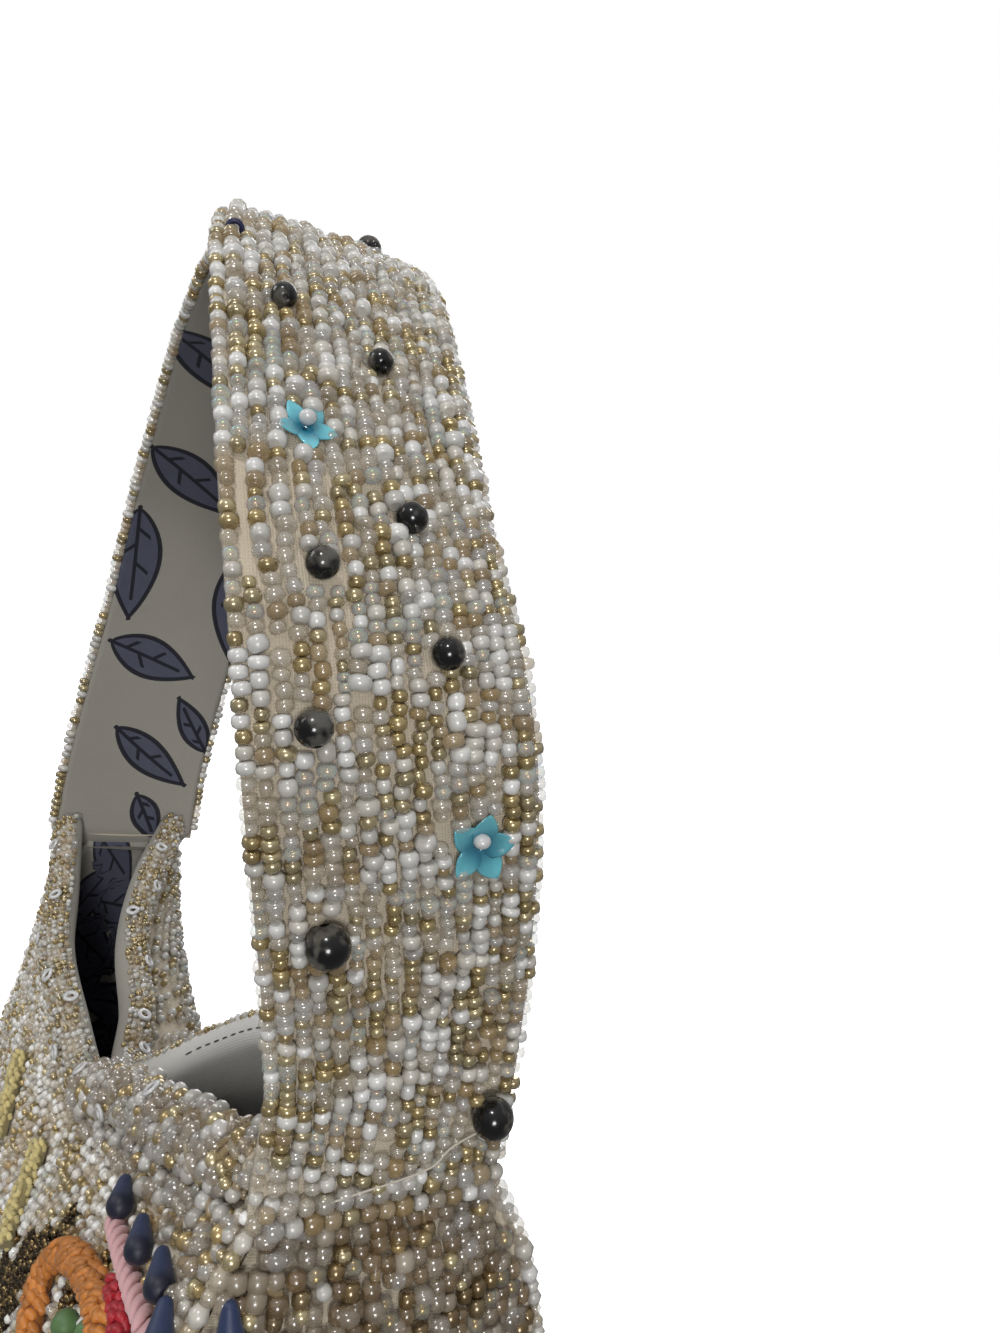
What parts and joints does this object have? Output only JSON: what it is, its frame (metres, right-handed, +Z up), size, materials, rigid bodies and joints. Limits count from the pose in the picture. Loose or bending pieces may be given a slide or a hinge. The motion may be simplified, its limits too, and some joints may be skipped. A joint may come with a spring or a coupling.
{
  "type": "beaded handbag",
  "caption": "Soft beaded handbag with a wide arched strap of seed-bead columns, dark round beads, turquoise flowers, a pinched rolled rim and a leaf-printed lining.",
  "frame": {"origin": "middle of the base's underside, which stands on the floor", "axes": "+X towards the strap end nearest the viewer, -Y out of the embroidered front, +Z up"},
  "size_m": [0.2257, 0.0889, 0.3257],
  "materials": {
    "beaded_cloth": "cream cloth sewn over with white, clear and gold glass seed beads",
    "base_cloth": "plain woven",
    "printed_cotton": "matt woven cotton printed with slate-blue leaves",
    "dark_beads": "polished, hematite-coloured glass",
    "flower_beads": "satin turquoise",
    "navy_drops": "matt navy glass"
  },
  "bodies": {
    "root": {"front_panel": "beaded_cloth", "back_panel": "beaded_cloth", "near_side_panel": "beaded_cloth", "far_side_panel": "beaded_cloth", "base_panel": "base_cloth", "bag_lining": "printed_cotton", "front_rim_roll": "beaded_cloth", "back_rim_roll": "beaded_cloth", "strap_band": "beaded_cloth", "strap_lining": "printed_cotton", "dark_bead_01": "dark_beads", "dark_bead_02": "dark_beads", "dark_bead_03": "dark_beads", "dark_bead_04": "dark_beads", "dark_bead_05": "dark_beads", "dark_bead_06": "dark_beads", "dark_bead_07": "dark_beads", "dark_bead_08": "dark_beads", "dark_bead_09": "dark_beads", "dark_bead_10": "dark_beads", "dark_bead_11": "dark_beads", "dark_bead_12": "dark_beads", "dark_bead_13": "dark_beads", "dark_bead_14": "dark_beads", "dark_bead_15": "dark_beads", "dark_bead_16": "dark_beads", "dark_bead_17": "dark_beads", "flower_bead_1": "flower_beads", "flower_bead_2": "flower_beads", "flower_bead_3": "flower_beads", "flower_bead_4": "flower_beads", "navy_drop_1": "navy_drops", "navy_drop_2": "navy_drops", "navy_drop_3": "navy_drops", "navy_drop_4": "navy_drops", "navy_drop_5": "navy_drops"}
  },
  "joints": []
}
